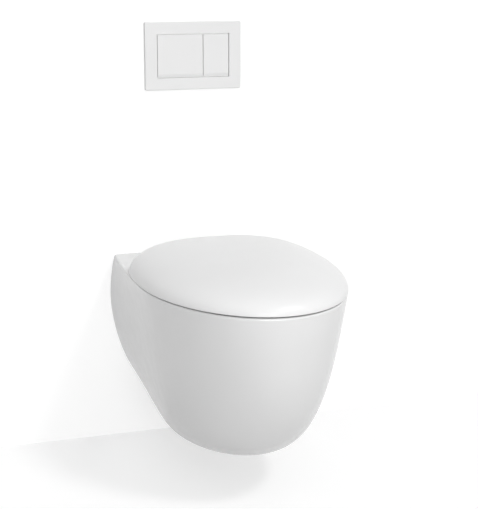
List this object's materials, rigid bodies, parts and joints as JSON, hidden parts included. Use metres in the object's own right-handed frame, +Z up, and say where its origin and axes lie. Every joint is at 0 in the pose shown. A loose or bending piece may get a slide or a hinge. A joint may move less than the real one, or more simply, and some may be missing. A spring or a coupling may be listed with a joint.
{
  "type": "concealed cistern toilet",
  "caption": "Wall-hung toilet pan with a domed hinged lid and seat, a dual-button flush plate and the in-wall frame, cistern, flush valve and pipes behind the wall.",
  "frame": {"origin": "on the floor, midway between the two floor bolts of the in-wall frame", "axes": "+X to the right seen from the room, +Y into the wall, +Z up; the finished wall is Y = -0.095"},
  "size_m": [0.48, 0.785, 0.96],
  "materials": {
    "glazed_white": "glossy white glaze",
    "seat_white": "glossy white moulding",
    "plate_white": "satin white moulding",
    "tank_plastic": "blow-moulded, matt",
    "valve_plastic": "matt moulding",
    "float_plastic": "matt moulding",
    "pipe_plastic": "extruded, matt",
    "frame_paint": "powder coat",
    "zinc_steel": "zinc plated",
    "hinge_steel": "polished",
    "seal_rubber": "soft black",
    "buffer_rubber": "soft pale",
    "valve_brass": "machined",
    "hose_skin": "reinforced hose"
  },
  "bodies": {
    "frame": {"pan": "glazed_white", "pan_bowl": "glazed_white", "pan_trap": "glazed_white", "hinge_posts": "hinge_steel", "hinge_pins": "zinc_steel", "hinge_plugs": "seal_rubber", "hinge_bolts": "zinc_steel", "flush_plate": "plate_white", "plate_mounting_frame": "valve_plastic", "plate_screws": "zinc_steel", "access_sleeve": "tank_plastic", "splash_cover": "valve_plastic", "cistern_tank": "tank_plastic", "tank_clips": "valve_plastic", "flush_valve_housing": "valve_plastic", "flush_valve_nut": "pipe_plastic", "half_rod_guide": "valve_plastic", "lever_bracket": "valve_plastic", "lever_shaft": "zinc_steel", "supply_nipple": "valve_brass", "supply_nut": "valve_brass", "stop_valve_body": "valve_brass", "supply_hose": "hose_skin", "fill_valve_body": "valve_plastic", "fill_valve_bracket": "valve_plastic", "flush_pipe": "pipe_plastic", "flush_pipe_seal": "seal_rubber", "flush_pipe_clip": "valve_plastic", "waste_bend": "pipe_plastic", "waste_connector": "pipe_plastic", "waste_seal": "seal_rubber", "waste_clamp": "zinc_steel", "left_post": "frame_paint", "right_post": "frame_paint", "post_caps": "pipe_plastic", "top_rail": "frame_paint", "stud_crossbar": "frame_paint", "lower_crossbar": "frame_paint", "feet": "zinc_steel", "leg_clamp_bolts": "zinc_steel", "wall_brackets": "zinc_steel", "bracket_bolts": "zinc_steel", "pan_studs": "zinc_steel", "stud_nuts": "zinc_steel", "stud_sleeves": "valve_plastic"},
    "seat": {"seat": "seat_white", "seat_buffers": "buffer_rubber"},
    "lid": {"lid": "seat_white", "lid_buffers": "buffer_rubber"},
    "full_button": {"full_flush_button": "plate_white", "full_push_rod": "valve_plastic"},
    "half_button": {"half_flush_button": "plate_white", "half_push_rod": "valve_plastic"},
    "full_lever": {"full_flush_lever": "float_plastic"},
    "half_lever": {"half_flush_lever": "float_plastic"},
    "flush_valve": {"flush_stem": "valve_plastic", "flush_seal": "seal_rubber"},
    "half_rod": {"half_flush_rod": "valve_plastic"},
    "float": {"fill_float": "float_plastic"},
    "stop_knob": {"stop_valve_knob": "float_plastic"}
  },
  "joints": [
    {"name": "seat_hinge", "type": "hinge", "parent": "frame", "child": "seat", "pos_m": [0, -0.1715, 0.412], "axis": [-1, 0, 0], "range_deg": [0, 93]},
    {"name": "lid_hinge", "type": "hinge", "parent": "seat", "child": "lid", "pos_m": [0, -0.1715, 0.412], "axis": [1, 0, 0], "range_deg": [-93, 0]},
    {"name": "full_button_press", "type": "slide", "parent": "frame", "child": "full_button", "axis": [0, 1, 0], "range_m": [0, 0.006], "stiffness_N_per_m": 300, "springref_m": -0.006},
    {"name": "half_button_press", "type": "slide", "parent": "frame", "child": "half_button", "axis": [0, 1, 0], "range_m": [0, 0.006], "stiffness_N_per_m": 300, "springref_m": -0.006},
    {"name": "full_lever_turn", "type": "hinge", "parent": "frame", "child": "full_lever", "pos_m": [-0.028, -0.005, 0.827], "axis": [1, 0, 0], "range_deg": [0, 29]},
    {"name": "half_lever_turn", "type": "hinge", "parent": "frame", "child": "half_lever", "pos_m": [0.04925, -0.005, 0.827], "axis": [1, 0, 0], "range_deg": [0, 29]},
    {"name": "flush_valve_lift", "type": "slide", "parent": "frame", "child": "flush_valve", "axis": [0, 0, 1], "range_m": [0, 0.0176]},
    {"name": "half_rod_lift", "type": "slide", "parent": "frame", "child": "half_rod", "axis": [0, 0, 1], "range_m": [0, 0.0176]},
    {"name": "float_rise", "type": "slide", "parent": "frame", "child": "float", "axis": [0, 0, 1], "range_m": [0, 0.04]},
    {"name": "stop_valve_turn", "type": "hinge", "parent": "frame", "child": "stop_knob", "pos_m": [-0.062, 0.01, 0.867], "axis": [0, 1, 0], "range_deg": [0, 90]}
  ],
  "couplings": [
    {"joint": "full_lever_turn", "follows": "full_button_press", "rad_per_m": 82.903},
    {"joint": "flush_valve_lift", "follows": "full_button_press", "ratio": 2.9},
    {"joint": "half_lever_turn", "follows": "half_button_press", "rad_per_m": 82.903},
    {"joint": "half_rod_lift", "follows": "half_button_press", "ratio": 2.9}
  ]
}
